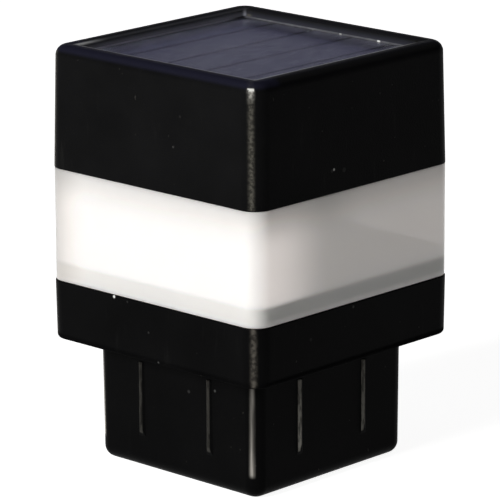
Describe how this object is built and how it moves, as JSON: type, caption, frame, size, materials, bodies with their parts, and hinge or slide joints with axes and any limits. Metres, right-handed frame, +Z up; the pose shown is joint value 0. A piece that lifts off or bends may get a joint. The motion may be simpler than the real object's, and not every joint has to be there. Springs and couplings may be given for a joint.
{
  "type": "deck post cap light",
  "caption": "Square solar cap light for a square tube post: black housing with recessed panel, frosted lens band, black base and a ribbed square plug below.",
  "frame": {"origin": "centre of the plug's underside, where the light stands when it is out of its post", "axes": "+Z up along the post, X and Y square to the sides; the picture looks at the -Y and +X faces"},
  "size_m": [0.061, 0.061, 0.0904],
  "materials": {
    "black_abs": "fine moulded texture, satin black",
    "frosted_lens": "glossy frosted white, lets light through",
    "white_abs": "matt white",
    "clear_sheet": "clear, glossy",
    "silicon": "blue grey silicon",
    "tinned_ribbon": "tinned",
    "panel_backing": "dark laminate",
    "pale_adhesive": "pale grey",
    "screw_steel": "zinc plated",
    "seal_rubber": "matt black",
    "red_insulation": "glossy red",
    "black_insulation": "glossy black",
    "green_board": "green solder mask",
    "chip_black": "matt black",
    "choke_green": "glossy pale green",
    "capacitor_blue": "glossy dark blue",
    "lamp_epoxy": "clear epoxy",
    "switch_case": "tinned steel case",
    "switch_black": "matt black",
    "nickel_plate": "nickel plated",
    "cell_sleeve": "plain green shrink sleeve",
    "foam": "dark grey foam"
  },
  "bodies": {
    "lower": {"post_plug": "black_abs", "plug_screws": "screw_steel", "base_frame": "black_abs", "lens": "frosted_lens", "head_seal": "seal_rubber", "floor_reflector": "white_abs", "reflector_screws": "screw_steel"},
    "head": {"top_housing": "black_abs", "tray_screws": "screw_steel", "board_screws": "screw_steel", "head_tray": "white_abs", "panel_seal": "pale_adhesive", "panel_cover": "clear_sheet", "solar_strips": "silicon", "strip_links": "tinned_ribbon", "panel_board": "panel_backing", "panel_lead_red": "red_insulation", "battery_lead_red": "red_insulation", "panel_lead_black": "black_insulation", "battery_lead_black": "black_insulation", "circuit_board": "green_board", "controller_chip": "chip_black", "choke": "choke_green", "capacitor": "capacitor_blue", "led_lamps": "lamp_epoxy", "led_legs": "tinned_ribbon", "switch_body": "switch_case", "battery_can": "nickel_plate", "battery_sleeve": "cell_sleeve", "battery_contact_plus": "nickel_plate", "battery_contact_minus": "nickel_plate"},
    "slider": {"switch_slider": "switch_black"},
    "door": {"battery_door": "white_abs", "door_screw": "screw_steel", "door_pad": "foam"}
  },
  "joints": [
    {"name": "head_lift", "type": "slide", "parent": "lower", "child": "head", "axis": [0, 0, 1], "range_m": [0, 0.03]},
    {"name": "switch_slide", "type": "slide", "parent": "head", "child": "slider", "axis": [1, 0, 0], "range_m": [0, 0.002]},
    {"name": "battery_door_lift", "type": "slide", "parent": "head", "child": "door", "axis": [0, 0, -1], "range_m": [0, 0.012]}
  ]
}
